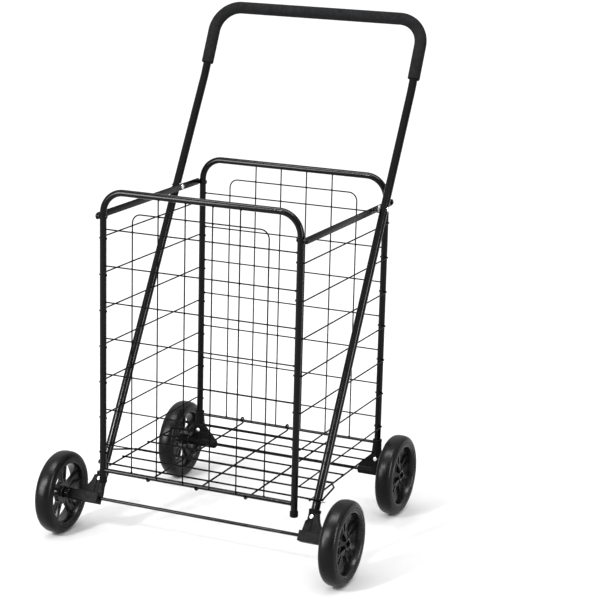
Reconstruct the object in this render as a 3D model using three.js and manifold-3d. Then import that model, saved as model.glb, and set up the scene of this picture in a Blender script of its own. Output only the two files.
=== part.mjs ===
// Folding shopping trolley: a wire basket between two bent-tube frames, a tall handle and four wheels.
// Millimetres, +Z up, +X to the trolley's right, +Y towards the person who pulls it.
// The lengths below are laid out from the plane of the front frame (y = 0) and the floor (z = 0);
// the finished group is then shifted so that its origin is the bottom centre of the open trolley.
import * as THREE from 'three';
import { mergeVertices } from 'three/addons/utils/BufferGeometryUtils.js';
import Module from 'manifold-3d';

const wasm = await Module();
wasm.setup();

// ---------- driving dimensions ----------

const GAP = 0.3; // clearance kept between neighbouring pieces

// basket frames
const HALF_WIDTH = 200; // centre plane to the frames' leg centre lines
const DEPTH = 406; // front frame plane to rear frame plane
const FRAME_TOP = 682;
const FRAME_BEND = 42;
const FRAME_RADIUS = 6.35;
const TUBE_WALL = 1;
const FRONT_LEG_END = 118;
const REAR_LEG_END = 95;
const BAR_HEIGHT = 141; // front bottom bar and rear hinge rod
const FRONT_BAR_RADIUS = 4.3;
const REAR_ROD_RADIUS = 3;

// wire panels
const PANEL_WIRE = 1.3; // radius
const PANEL_LAYER = 2.1; // distance between crossing wire layers
const PANEL_ROWS = 7;
const ROW_PITCH = 69.5;
const TOP_ROW = 611;
const UPRIGHT_PITCH = 55.4;
const ARCH_HALF_WIDTH = 2.5 * UPRIGHT_PITCH;
const ARCH_TOP = 645;
const ARCH_BEND = 17;
const UPRIGHT_DROP = 5.6; // top tube's centre line down to the uprights' ends

// side wires and flat side bars
const SIDE_WIRE = 1.4; // radius
const SIDE_WIRE_X = 208.4;
const TOP_SIDE_WIRE = 592.8;
const SIDE_WIRE_BEND = 1.7;
const SIDE_BAR_HEIGHT = 634;
const SIDE_BAR_INNER_X = 210.3;
const SIDE_BAR_THICKNESS = 2.5;
const SIDE_BAR_HALF = 6.5;
const HANDLE_PIVOT_Y = 336;

// basket floor
const FLOOR_WIRE = 1.7; // radius
const HOOK_RADIUS = FRONT_BAR_RADIUS + 0.35 + FLOOR_WIRE;
const FLOOR_LAYER = 2.8;
const FLOOR_EDGE_X = 211;
const FLOOR_RUNNER_X = 102;
const FIRST_CROSS_WIRE = 47;
const CROSS_PITCH = 51.4;
const CROSS_WIRES = 7;
const HOOK_BEND = HOOK_RADIUS - 0.05;
const HOOK_LIP = 2; // the hooks' open ends stop this far above the bar's centre line
const CROSS_OVERHANG = 0.6; // cross wires reach this far past the edge wires
const EAR_X = 236;
const EAR_FRONT = 42;
const EAR_REAR = 92;
const EAR_FRONT_HEIGHT = 138.6;
const EAR_REAR_HEIGHT = 146;
const EAR_BEND = 8;

// handle
const HANDLE_X = 224.2;
const HANDLE_RADIUS = 8;
const HANDLE_TILT = THREE.MathUtils.degToRad(29.72);
const UPPER_TILT = THREE.MathUtils.degToRad(25);
const HANDLE_FOOT = 92;
const HANDLE_KNEE = 845;
const HANDLE_TOP = 978;
const KNEE_BEND = 150;
const TOP_BEND = 52;
const GRIP_RADIUS = 12;
const GRIP_END = 868;
const STOP_PIN_HEIGHT = 135.5;

// wheels and axles
const WHEEL_RADIUS = 80;
const TYRE_HALF = 17.2;
const TYRE_BORE = 57.6;
const TYRE_SHOULDER = 77; // radius where the crown meets the shoulder
const TYRE_WALL = 66; // radius where the shoulder meets the side wall
const TYRE_CHAMFER = 5;
const RIM_HALF = 13;
const RIM_WALL = 4;
const DISC_RADIUS = 22; // the disc that carries the spokes
const DISC_HALF = 4;
const HUB_RADIUS = 11;
const HUB_INNER = 20; // hub ends, measured from the wheel's centre plane
const HUB_OUTER = 12;
const SPOKE_PAIRS = 5;
const SPOKE_SPREAD = 7.5; // centre line of each spoke from the middle of its pair
const SPOKE_WIDTH = 7;
const SPOKE_DEPTH = 7; // along the axle
const AXLE_RADIUS = 3.25;
const AXLE_FIT = 0.35;
const AXLE_END = 17; // axle end beyond the wheel's centre plane
const AXLE_CAP_RADIUS = 7.5;
const AXLE_CAP_LENGTH = 7;
const FRONT_AXLE_Y = 5.4;
const FRONT_WHEEL_X = 294.4;
const REAR_AXLE_Y = DEPTH;
const REAR_WHEEL_X = 242.6;

// fasteners
const RIVET_RADIUS = 2.8;
const RIVET_FIT = 0.35;
const RIVET_HEAD_RADIUS = 5;
const RIVET_SHOULDER_RADIUS = 4.5; // holds a side bar off its frame leg
const SMALL_RIVET_RADIUS = 2.2;
const SMALL_HEAD_RADIUS = 4.2;
const SMALL_HEAD = 1.6;
const STOP_HEAD_RADIUS = 3.4;
const STOP_PIN_REACH = 8; // how far the floor's stop pins stand out from the handle tube
const CAP_WALL = 1.1;
const CAP_FLOOR = 2;
const CAP_DEPTH = 9;

// ---------- materials ----------

function finish(color, roughness, metalness) {
  return new THREE.MeshStandardMaterial({ color, roughness, metalness });
}

const blackPaint = finish(0x0d0d0e, 0.28, 0.4);
const satinPaint = finish(0x18181a, 0.45, 0.4);
const blackWire = finish(0x0e0e0f, 0.38, 0.4);
const foam = finish(0x26272a, 0.85, 0);
const rubber = finish(0x161617, 0.6, 0);
const plastic = finish(0x131314, 0.45, 0);
const zinc = finish(0xc4c6c8, 0.32, 0.9);
const nylon = finish(0xd9dadb, 0.5, 0);

// ---------- geometry helpers ----------

const vec = (x, y, z) => new THREE.Vector3(x, y, z);

// A route through corner points whose corners are rounded: straight runs take one step each,
// and a rounded corner takes quarterSteps steps for each quarter turn.
function roundedRoute(corners, radii, quarterSteps = 5) {
  const stations = [];
  const last = corners.length - 1;
  corners.forEach((corner, i) => {
    if (i === 0 || i === last) {
      const other = i === 0 ? corners[1] : corners[last - 1];
      const tangent = i === 0 ? other.clone().sub(corner) : corner.clone().sub(other);
      stations.push({ point: corner, tangent: tangent.normalize() });
      return;
    }
    const radius = Array.isArray(radii) ? radii[i - 1] : radii;
    const arriving = corner.clone().sub(corners[i - 1]).normalize();
    const leaving = corners[i + 1].clone().sub(corner).normalize();
    const turn = arriving.angleTo(leaving);
    const start = corner.clone().addScaledVector(arriving, -radius * Math.tan(turn / 2));
    const axis = arriving.clone().cross(leaving).normalize();
    const inward = axis.clone().cross(arriving);
    const centre = start.clone().addScaledVector(inward, radius);
    const bendSteps = Math.max(1, Math.round((turn * quarterSteps) / (Math.PI / 2)));
    for (let k = 0; k <= bendSteps; k += 1) {
      const angle = (turn * k) / bendSteps;
      const arm = inward.clone().multiplyScalar(-radius).applyAxisAngle(axis, angle);
      const tangent = arriving.clone().applyAxisAngle(axis, angle);
      stations.push({ point: centre.clone().add(arm), tangent });
    }
  });
  return stations;
}

class Route extends THREE.Curve {
  constructor(stations) {
    super();
    this.stations = stations;
  }

  station(t) {
    return this.stations[Math.round(t * (this.stations.length - 1))];
  }

  getPoint(t) {
    return this.station(t).point.clone();
  }

  getPointAt(t) {
    return this.station(t).point.clone();
  }

  getTangentAt(t) {
    return this.station(t).tangent.clone();
  }
}

function ringPoints(radius, sides) {
  const points = [];
  for (let i = 0; i < sides; i += 1) {
    const angle = (2 * Math.PI * i) / sides;
    points.push(new THREE.Vector2(radius * Math.cos(angle), radius * Math.sin(angle)));
  }
  return points;
}

// A round bar or tube along a route.
function sweep(stations, radius, sides = 6, bore = 0, boreSides = 8) {
  const section = new THREE.Shape(ringPoints(radius, sides));
  if (bore > 0) section.holes.push(new THREE.Path(ringPoints(bore, boreSides)));
  const options = { steps: stations.length - 1, extrudePath: new Route(stations) };
  return new THREE.ExtrudeGeometry(section, options);
}

function rod(start, end, radius, sides = 6) {
  return sweep(roundedRoute([start, end], 0), radius, sides);
}

// A turned shape about an X-parallel axis: the profile holds [distance along X, radius] pairs.
function turned(profile, segments) {
  const points = profile.map(([along, radius]) => new THREE.Vector2(radius, along));
  return new THREE.LatheGeometry(points, segments).rotateZ(-Math.PI / 2);
}

// An outline in the YZ plane made into a plate that runs from x = 0 to its thickness.
function plateAlongX(shape, thickness) {
  const options = { depth: thickness, bevelEnabled: false, curveSegments: 6 };
  const basis = new THREE.Matrix4().makeBasis(vec(0, 1, 0), vec(0, 0, 1), vec(1, 0, 0));
  return new THREE.ExtrudeGeometry(shape, options).applyMatrix4(basis);
}

// An outline in the XZ plane made into a plate of the given thickness, centred on y = 0.
function plateAlongY(shape, thickness) {
  const options = { depth: thickness, bevelEnabled: false, curveSegments: 5 };
  const plate = new THREE.ExtrudeGeometry(shape, options);
  return plate.rotateX(Math.PI / 2).translate(0, thickness / 2, 0);
}

function toSolid(geometry) {
  const bare = geometry.clone();
  bare.deleteAttribute('normal');
  bare.deleteAttribute('uv');
  const merged = mergeVertices(bare, 1e-4);
  const vertProperties = new Float32Array(merged.attributes.position.array);
  const triVerts = new Uint32Array(merged.index.array);
  const mesh = new wasm.Mesh({ numProp: 3, vertProperties, triVerts });
  mesh.merge();
  return new wasm.Manifold(mesh);
}

function toGeometry(solid) {
  const mesh = solid.getMesh();
  const geometry = new THREE.BufferGeometry();
  geometry.setAttribute('position', new THREE.BufferAttribute(mesh.vertProperties, 3));
  geometry.setIndex(new THREE.BufferAttribute(mesh.triVerts, 1));
  geometry.computeVertexNormals();
  return geometry;
}

function join(geometries) {
  return geometries.map(toSolid).reduce((whole, piece) => whole.add(piece));
}

function cut(solid, cutters) {
  return cutters.map(toSolid).reduce((whole, cutter) => whole.subtract(cutter), solid);
}

const trolley = new THREE.Group();

function add(name, geometry, material, x = 0, y = 0, z = 0) {
  const mesh = new THREE.Mesh(geometry, material);
  mesh.name = name;
  mesh.position.set(x, y, z);
  trolley.add(mesh);
  return mesh;
}

// Both sides of the trolley, right first.
const SIDES = [
  { label: 'right', sign: 1 },
  { label: 'left', sign: -1 },
];

// ---------- frames ----------

// Cross-drill through a leg along X, made a little wider than its rivet.
function crossDrill(x, y, z, radius) {
  const reach = 16;
  return rod(vec(x - reach, y, z), vec(x + reach, y, z), radius + RIVET_FIT, 8);
}

// Drill through a leg along Y.
function frontDrill(x, y, z, radius) {
  const reach = 24;
  return rod(vec(x, y - reach, z), vec(x, y + reach, z), radius + RIVET_FIT, 8);
}

function bentFrame(legEnd) {
  const corners = [
    vec(-HALF_WIDTH, 0, legEnd),
    vec(-HALF_WIDTH, 0, FRAME_TOP),
    vec(HALF_WIDTH, 0, FRAME_TOP),
    vec(HALF_WIDTH, 0, legEnd),
  ];
  const route = roundedRoute(corners, FRAME_BEND, 6);
  return toSolid(sweep(route, FRAME_RADIUS, 12, FRAME_RADIUS - TUBE_WALL, 8));
}

// A welded wire panel in the plane y = 0. The rows lie a little outside the tubes' centre line,
// the uprights outside the rows, and the inner arch inside them; outward is -1 or +1.
function wirePanel(outward, bottom) {
  const wires = [];
  const rowY = outward * PANEL_LAYER;
  const rowEnd = HALF_WIDTH - FRAME_RADIUS - GAP;
  for (let row = 0; row < PANEL_ROWS; row += 1) {
    const z = TOP_ROW - row * ROW_PITCH;
    wires.push(rod(vec(-rowEnd, rowY, z), vec(rowEnd, rowY, z), PANEL_WIRE));
  }
  const uprightY = 2 * rowY;
  const uprightTop = FRAME_TOP - UPRIGHT_DROP;
  for (const step of [-1.5, -0.5, 0.5, 1.5]) {
    const x = step * UPRIGHT_PITCH;
    wires.push(rod(vec(x, uprightY, bottom), vec(x, uprightY, uprightTop), PANEL_WIRE));
  }
  const arch = [
    vec(-ARCH_HALF_WIDTH, 0, bottom),
    vec(-ARCH_HALF_WIDTH, 0, ARCH_TOP),
    vec(ARCH_HALF_WIDTH, 0, ARCH_TOP),
    vec(ARCH_HALF_WIDTH, 0, bottom),
  ];
  wires.push(sweep(roundedRoute(arch, ARCH_BEND, 3), PANEL_WIRE));
  return toGeometry(join(wires));
}

// A rivet along X whose shank runs from inner to outer, with a domed head beyond each end.
// The shoulder, where there is one, is a thicker stretch of the shank.
function rivet({ inner, outer, radius, headRadius, innerHead, outerHead, shoulder }) {
  const thicker = shoulder
    ? [
        [shoulder.from, radius],
        [shoulder.from, RIVET_SHOULDER_RADIUS],
        [shoulder.to, RIVET_SHOULDER_RADIUS],
        [shoulder.to, radius],
      ]
    : [];
  const profile = [
    [inner - innerHead, 0],
    [inner - innerHead, headRadius * 0.7],
    [inner, headRadius * 0.85],
    [inner, radius],
    ...thicker,
    [outer, radius],
    [outer, headRadius],
    [outer + outerHead, headRadius * 0.6],
    [outer + outerHead, 0],
  ];
  return turned(profile, 8);
}

// The same rivet on the trolley's right or, turned about, on its left.
function sideRivet(sign, sizes) {
  const pin = rivet(sizes);
  return sign > 0 ? pin : pin.rotateZ(Math.PI);
}

function addFrontFrame() {
  const drills = SIDES.map(({ sign }) => crossDrill(sign * HALF_WIDTH, 0, SIDE_BAR_HEIGHT, RIVET_RADIUS));
  add('front_frame_tube', toGeometry(cut(bentFrame(FRONT_LEG_END), drills)), blackPaint);
  add('front_panel_grid', wirePanel(-1, BAR_HEIGHT + FRONT_BAR_RADIUS + GAP), blackWire);
  const barEnd = HALF_WIDTH - FRAME_RADIUS - GAP;
  const bar = rod(vec(-barEnd, 0, BAR_HEIGHT), vec(barEnd, 0, BAR_HEIGHT), FRONT_BAR_RADIUS, 10);
  add('front_bottom_bar', bar, blackPaint);
  for (const { label, sign } of SIDES) {
    add(`front_leg_cap_${label}`, legCap(), plastic, sign * HALF_WIDTH, 0, FRONT_LEG_END);
  }
}

// A cup pushed over the end of a leg; z = 0 is the end of the tube.
function legCap() {
  const inner = FRAME_RADIUS + GAP;
  const outer = inner + CAP_WALL;
  const floor = -GAP;
  const profile = [
    new THREE.Vector2(0, floor - CAP_FLOOR),
    new THREE.Vector2(outer, floor - CAP_FLOOR),
    new THREE.Vector2(outer, CAP_DEPTH),
    new THREE.Vector2(inner, CAP_DEPTH),
    new THREE.Vector2(inner, floor),
    new THREE.Vector2(0, floor),
  ];
  return new THREE.LatheGeometry(profile, 12).rotateX(Math.PI / 2);
}

const REAR_RIVET_HEIGHT = 108;
const REAR_SLEEVE_RADIUS = 8.9;

function addRearFrame() {
  const drills = SIDES.flatMap(({ sign }) => [
    crossDrill(sign * HALF_WIDTH, 0, SIDE_BAR_HEIGHT, RIVET_RADIUS),
    frontDrill(sign * HALF_WIDTH, 0, REAR_RIVET_HEIGHT, SMALL_RIVET_RADIUS),
  ]);
  add('rear_frame_tube', toGeometry(cut(bentFrame(REAR_LEG_END), drills)), blackPaint, 0, DEPTH, 0);
  const panel = wirePanel(1, BAR_HEIGHT + REAR_ROD_RADIUS + GAP);
  add('rear_panel_grid', panel, blackWire, 0, DEPTH, 0);
  const end = HALF_WIDTH - REAR_SLEEVE_RADIUS - GAP;
  const hingeRod = rod(vec(-end, DEPTH, BAR_HEIGHT), vec(end, DEPTH, BAR_HEIGHT), REAR_ROD_RADIUS);
  add('rear_hinge_rod', hingeRod, blackPaint);
}

// ---------- flat side bars, their rivets and the side wires ----------

function roundedBarOutline(length, half) {
  const outline = new THREE.Shape();
  outline.absarc(0, 0, half, Math.PI / 2, (3 * Math.PI) / 2, false);
  outline.absarc(length, 0, half, -Math.PI / 2, Math.PI / 2, false);
  outline.closePath();
  for (const along of [0, HANDLE_PIVOT_Y, length]) {
    const hole = new THREE.Path();
    hole.absarc(along, 0, RIVET_RADIUS + RIVET_FIT, 0, 2 * Math.PI, true);
    outline.holes.push(hole);
  }
  return outline;
}

function addSideBars() {
  const outline = roundedBarOutline(DEPTH, SIDE_BAR_HALF);
  const outer = SIDE_BAR_INNER_X + SIDE_BAR_THICKNESS;
  for (const { label, sign } of SIDES) {
    const x = sign > 0 ? SIDE_BAR_INNER_X : -outer;
    add(`side_bar_${label}`, plateAlongX(outline, SIDE_BAR_THICKNESS), satinPaint, x, 0, SIDE_BAR_HEIGHT);
    for (const [end, y] of [['front', 0], ['rear', DEPTH]]) {
      const pin = sideRivet(sign, {
        inner: HALF_WIDTH - FRAME_RADIUS - GAP,
        outer: outer + GAP,
        radius: RIVET_RADIUS,
        headRadius: RIVET_HEAD_RADIUS,
        innerHead: 1.2,
        outerHead: 2.4,
        shoulder: { from: HALF_WIDTH + FRAME_RADIUS + GAP, to: SIDE_BAR_INNER_X - GAP },
      });
      add(`side_bar_${end}_rivet_${label}`, pin, zinc, 0, y, SIDE_BAR_HEIGHT);
    }
  }
}

// The side wires run outside the frame legs, and their ends turn in to meet them.
function addSideWires() {
  const end = HALF_WIDTH + FRAME_RADIUS + GAP;
  for (const { label, sign } of SIDES) {
    for (let row = 0; row < PANEL_ROWS; row += 1) {
      const corners = [
        vec(sign * end, 0, 0),
        vec(sign * SIDE_WIRE_X, 0, 0),
        vec(sign * SIDE_WIRE_X, DEPTH, 0),
        vec(sign * end, DEPTH, 0),
      ];
      const wire = sweep(roundedRoute(corners, SIDE_WIRE_BEND, 2), SIDE_WIRE);
      add(`side_wire_${label}_${row + 1}`, wire, blackWire, 0, 0, TOP_SIDE_WIRE - row * ROW_PITCH);
    }
  }
}

// ---------- basket floor ----------

const RUNNER_HEIGHT = BAR_HEIGHT - HOOK_RADIUS;
const CROSS_HEIGHT = RUNNER_HEIGHT + FLOOR_LAYER;

// A lengthwise wire: it passes under both bars, turns up in front of the front bar
// and wraps three quarters of the way round the rear hinge rod.
function floorRunner(x) {
  const r = HOOK_RADIUS;
  const corners = [
    vec(x, -r, BAR_HEIGHT + HOOK_LIP),
    vec(x, -r, RUNNER_HEIGHT),
    vec(x, DEPTH + r, RUNNER_HEIGHT),
    vec(x, DEPTH + r, BAR_HEIGHT + r),
    vec(x, DEPTH - r, BAR_HEIGHT + r),
    vec(x, DEPTH - r, BAR_HEIGHT + HOOK_LIP),
  ];
  return sweep(roundedRoute(corners, HOOK_BEND, 3), FLOOR_WIRE);
}

function floorEdge(x) {
  const front = FIRST_CROSS_WIRE - FLOOR_WIRE - CROSS_OVERHANG;
  const rear = FIRST_CROSS_WIRE + (CROSS_WIRES - 1) * CROSS_PITCH + FLOOR_WIRE + CROSS_OVERHANG;
  return rod(vec(x, front, RUNNER_HEIGHT), vec(x, rear, RUNNER_HEIGHT), FLOOR_WIRE);
}

// The hook that reaches out past the handle tube and rests on its stop pin: its open side faces the rear.
function floorEar(sign) {
  const lap = FIRST_CROSS_WIRE - FLOOR_WIRE / 3; // welded along the first cross wire
  const corners = [
    vec(sign * (HALF_WIDTH - 16), lap, CROSS_HEIGHT + FLOOR_WIRE / 4),
    vec(sign * (HALF_WIDTH - 2), lap, CROSS_HEIGHT + FLOOR_WIRE / 4),
    vec(sign * (FLOOR_EDGE_X + FLOOR_WIRE), EAR_FRONT, EAR_FRONT_HEIGHT),
    vec(sign * EAR_X, EAR_FRONT, EAR_FRONT_HEIGHT),
    vec(sign * EAR_X, EAR_REAR, EAR_REAR_HEIGHT),
  ];
  return sweep(roundedRoute(corners, EAR_BEND, 3), FLOOR_WIRE);
}

function addFloor() {
  const wires = [];
  for (const { sign } of SIDES) wires.push(floorEdge(sign * FLOOR_EDGE_X), floorEar(sign));
  for (const x of [-FLOOR_RUNNER_X, 0, FLOOR_RUNNER_X]) wires.push(floorRunner(x));
  const reach = FLOOR_EDGE_X + FLOOR_WIRE + CROSS_OVERHANG;
  for (let k = 0; k < CROSS_WIRES; k += 1) {
    const y = FIRST_CROSS_WIRE + k * CROSS_PITCH;
    wires.push(rod(vec(-reach, y, CROSS_HEIGHT), vec(reach, y, CROSS_HEIGHT), FLOOR_WIRE));
  }
  add('floor_grid', toGeometry(join(wires)), blackWire);
}

// ---------- handle ----------

const HANDLE_FOOT_Y = HANDLE_PIVOT_Y - (SIDE_BAR_HEIGHT - WHEEL_RADIUS) * Math.tan(HANDLE_TILT);
const handleY = (z) => HANDLE_FOOT_Y + (z - WHEEL_RADIUS) * Math.tan(HANDLE_TILT);
const upperY = (z) => handleY(HANDLE_KNEE) + (z - HANDLE_KNEE) * Math.tan(UPPER_TILT);

function addHandle() {
  const x = HANDLE_X;
  const corners = [
    vec(-x, handleY(HANDLE_FOOT), HANDLE_FOOT),
    vec(-x, handleY(HANDLE_KNEE), HANDLE_KNEE),
    vec(-x, upperY(HANDLE_TOP), HANDLE_TOP),
    vec(x, upperY(HANDLE_TOP), HANDLE_TOP),
    vec(x, handleY(HANDLE_KNEE), HANDLE_KNEE),
    vec(x, handleY(HANDLE_FOOT), HANDLE_FOOT),
  ];
  const route = roundedRoute(corners, [KNEE_BEND, TOP_BEND, TOP_BEND, KNEE_BEND], 5);
  const tube = toSolid(sweep(route, HANDLE_RADIUS, 12, HANDLE_RADIUS - TUBE_WALL, 8));
  const drills = SIDES.flatMap(({ sign }) => [
    crossDrill(sign * x, HANDLE_PIVOT_Y, SIDE_BAR_HEIGHT, RIVET_RADIUS),
    crossDrill(sign * x, handleY(STOP_PIN_HEIGHT), STOP_PIN_HEIGHT, SMALL_RIVET_RADIUS),
    bracketRivetDrill(sign),
  ]);
  add('handle_tube', toGeometry(cut(tube, drills)), blackPaint);
  const gripCorners = [
    vec(-x, upperY(GRIP_END), GRIP_END),
    vec(-x, upperY(HANDLE_TOP), HANDLE_TOP),
    vec(x, upperY(HANDLE_TOP), HANDLE_TOP),
    vec(x, upperY(GRIP_END), GRIP_END),
  ];
  const gripBore = HANDLE_RADIUS / Math.cos(Math.PI / 12) + GAP;
  const gripRoute = roundedRoute(gripCorners, TOP_BEND, 5);
  add('handle_grip', sweep(gripRoute, GRIP_RADIUS, 12, gripBore, 10), foam);
}

function addHandleFasteners() {
  const barOuter = SIDE_BAR_INNER_X + SIDE_BAR_THICKNESS;
  const tubeInner = HANDLE_X - HANDLE_RADIUS;
  const tubeOuter = HANDLE_X + HANDLE_RADIUS + GAP;
  for (const { label, sign } of SIDES) {
    const bore = RIVET_RADIUS + RIVET_FIT;
    const spacerEnds = [barOuter + GAP, tubeInner - GAP];
    const spacer = turned([
      [spacerEnds[0], bore],
      [spacerEnds[0], SIDE_BAR_HALF],
      [spacerEnds[1], SIDE_BAR_HALF],
      [spacerEnds[1], bore],
      [spacerEnds[0], bore],
    ], 12);
    const seated = sign > 0 ? spacer : spacer.rotateZ(Math.PI);
    add(`handle_pivot_spacer_${label}`, seated, nylon, 0, HANDLE_PIVOT_Y, SIDE_BAR_HEIGHT);
    const pin = sideRivet(sign, {
      inner: SIDE_BAR_INNER_X - GAP,
      outer: tubeOuter,
      radius: RIVET_RADIUS,
      headRadius: RIVET_HEAD_RADIUS,
      innerHead: 2,
      outerHead: 1.8,
    });
    add(`handle_pivot_rivet_${label}`, pin, zinc, 0, HANDLE_PIVOT_Y, SIDE_BAR_HEIGHT);
    const stop = sideRivet(sign, {
      inner: tubeInner - GAP,
      outer: tubeOuter,
      radius: SMALL_RIVET_RADIUS,
      headRadius: STOP_HEAD_RADIUS,
      innerHead: 1.2,
      outerHead: STOP_PIN_REACH,
    });
    const stopY = handleY(STOP_PIN_HEIGHT);
    add(`floor_stop_pin_${label}`, stop, zinc, 0, stopY, STOP_PIN_HEIGHT);
  }
}

// ---------- axle brackets ----------

// A rivet through a bracket's sleeve, along Y, with the same head on both sides.
function bracketRivet(sleeve) {
  const reach = sleeve + GAP;
  const sizes = { inner: -reach, outer: reach, radius: SMALL_RIVET_RADIUS, headRadius: SMALL_HEAD_RADIUS };
  return rivet({ ...sizes, innerHead: SMALL_HEAD, outerHead: SMALL_HEAD }).rotateZ(Math.PI / 2);
}

// The handle's lower end in its own frame: z runs up the tube from the axle's height.
const FRONT_BRACKET = { sleeve: 11.3, top: 46, base: 11, start: 210.5, end: 273.9, thick: 10 };
const FRONT_RIVET_UP = 31;
const HANDLE_TUBE_START = 11; // the socket's floor, just under the end of the handle tube

function inHandleFrame(geometry) {
  return geometry.rotateX(-HANDLE_TILT).translate(0, HANDLE_FOOT_Y, WHEEL_RADIUS);
}

function bracketRivetDrill(sign) {
  return inHandleFrame(frontDrill(sign * HANDLE_X, 0, FRONT_RIVET_UP, SMALL_RIVET_RADIUS));
}

// The web between the sleeve and the axle tube, on the wheel's side of the handle tube.
function frontGusset(sign) {
  const { top, end } = FRONT_BRACKET;
  const webEnd = sign * (end - 1);
  const webTop = top - 8;
  const outline = new THREE.Shape();
  outline.moveTo(sign * HANDLE_X, -8);
  outline.lineTo(webEnd, -8);
  outline.lineTo(webEnd, -2);
  outline.quadraticCurveTo(sign * (HANDLE_X + 16), 4, sign * (HANDLE_X + 13), webTop);
  outline.lineTo(sign * HANDLE_X, webTop);
  outline.closePath();
  return outline;
}

function addFrontBracket(label, sign) {
  const { sleeve, top, base, start, end, thick } = FRONT_BRACKET;
  const axle = vec(0, FRONT_AXLE_Y - HANDLE_FOOT_Y, 0).applyAxisAngle(vec(1, 0, 0), HANDLE_TILT);
  const across = (from, to, radius, sides) => {
    return rod(vec(sign * from, axle.y, axle.z), vec(sign * to, axle.y, axle.z), radius, sides);
  };
  const plate = plateAlongY(frontGusset(sign), thick).translate(0, -thick / 2 - 0.5, 0);
  const upright = (from, to, radius, sides) => {
    return rod(vec(sign * HANDLE_X, 0, from), vec(sign * HANDLE_X, 0, to), radius, sides);
  };
  const body = join([across(start, end, base, 14), upright(-4, top, sleeve, 14), plate]);
  const socket = upright(HANDLE_TUBE_START, top + 20, HANDLE_RADIUS + GAP, 12);
  const bore = across(start - 5, end + 5, AXLE_RADIUS + AXLE_FIT, 10);
  const drill = frontDrill(sign * HANDLE_X, 0, FRONT_RIVET_UP, SMALL_RIVET_RADIUS);
  const bracket = toGeometry(cut(body, [socket, bore, drill]));
  add(`front_bracket_${label}`, inHandleFrame(bracket), plastic);
  const pin = bracketRivet(sleeve).translate(sign * HANDLE_X, 0, FRONT_RIVET_UP);
  add(`front_bracket_rivet_${label}`, inHandleFrame(pin), zinc);
}

const REAR_BRACKET = { start: 161, end: 222.3, top: 148, base: 7.5, thick: 9 };

// The webs on both sides of the leg's sleeve, the longer one towards the trolley's middle.
function rearGusset(sign) {
  const { start, end } = REAR_BRACKET;
  const axle = WHEEL_RADIUS;
  const webTop = axle + 56;
  const topHalf = 7.5;
  const outline = new THREE.Shape();
  outline.moveTo(sign * (start + 1), axle);
  outline.lineTo(sign * (start + 1), axle + 8);
  outline.quadraticCurveTo(sign * (HALF_WIDTH - 12), axle + 20, sign * (HALF_WIDTH - topHalf), webTop);
  outline.lineTo(sign * (HALF_WIDTH + topHalf), webTop);
  outline.quadraticCurveTo(sign * (HALF_WIDTH + 9), axle + 16, sign * (end - 1), axle + 9);
  outline.lineTo(sign * (end - 1), axle);
  outline.closePath();
  return outline;
}

function addRearBracket(label, sign) {
  const { start, end, top, base, thick } = REAR_BRACKET;
  const axle = WHEEL_RADIUS;
  const leg = sign * HALF_WIDTH;
  const across = (from, to, radius, sides) => {
    return rod(vec(sign * from, 0, axle), vec(sign * to, 0, axle), radius, sides);
  };
  const upright = (from, to, radius, sides) => rod(vec(leg, 0, from), vec(leg, 0, to), radius, sides);
  const body = join([
    across(start, end, base, 12),
    upright(axle, top, REAR_SLEEVE_RADIUS, 14),
    plateAlongY(rearGusset(sign), thick),
  ]);
  const bracket = cut(body, [
    upright(REAR_LEG_END - 2, top + 20, FRAME_RADIUS + GAP, 12),
    across(start - 5, end + 5, AXLE_RADIUS + AXLE_FIT, 10),
    frontDrill(sign * HALF_WIDTH, 0, REAR_RIVET_HEIGHT, SMALL_RIVET_RADIUS),
  ]);
  add(`rear_bracket_${label}`, toGeometry(bracket), plastic, 0, DEPTH, 0);
  const pin = bracketRivet(REAR_SLEEVE_RADIUS);
  add(`rear_bracket_rivet_${label}`, pin, zinc, sign * HALF_WIDTH, DEPTH, REAR_RIVET_HEIGHT);
}

// ---------- wheels and axles ----------

function tyre() {
  const profile = [
    [-TYRE_HALF, TYRE_BORE],
    [-TYRE_HALF, TYRE_WALL],
    [TYRE_CHAMFER - TYRE_HALF, TYRE_SHOULDER],
    [0, WHEEL_RADIUS],
    [TYRE_HALF - TYRE_CHAMFER, TYRE_SHOULDER],
    [TYRE_HALF, TYRE_WALL],
    [TYRE_HALF, TYRE_BORE],
    [-TYRE_HALF, TYRE_BORE],
  ];
  return turned(profile, 24);
}

function spoke(angle, offset) {
  const inner = HUB_RADIUS - 2;
  const outer = TYRE_BORE - 3;
  const bar = new THREE.BoxGeometry(SPOKE_DEPTH, SPOKE_WIDTH, outer - inner);
  return bar.translate(0, offset, (inner + outer) / 2).rotateX(angle);
}

function rim() {
  const outside = TYRE_BORE - GAP;
  const inside = outside - RIM_WALL;
  const barrel = turned([
    [-RIM_HALF, inside],
    [-RIM_HALF, outside],
    [RIM_HALF, outside],
    [RIM_HALF, inside],
    [-RIM_HALF, inside],
  ], 24);
  const hub = turned([
    [-HUB_INNER, 0],
    [-HUB_INNER, HUB_RADIUS],
    [-DISC_HALF, HUB_RADIUS],
    [-DISC_HALF, DISC_RADIUS],
    [DISC_HALF, DISC_RADIUS],
    [DISC_HALF + 2, HUB_RADIUS],
    [HUB_OUTER, HUB_RADIUS],
    [HUB_OUTER, 0],
  ], 12);
  const spokes = [];
  for (let pair = 0; pair < SPOKE_PAIRS; pair += 1) {
    const angle = (2 * Math.PI * pair) / SPOKE_PAIRS;
    spokes.push(spoke(angle, -SPOKE_SPREAD), spoke(angle, SPOKE_SPREAD));
  }
  const bore = rod(vec(-30, 0, 0), vec(30, 0, 0), AXLE_RADIUS + AXLE_FIT, 10);
  return toGeometry(cut(join([barrel, hub, ...spokes]), [bore]));
}

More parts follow.
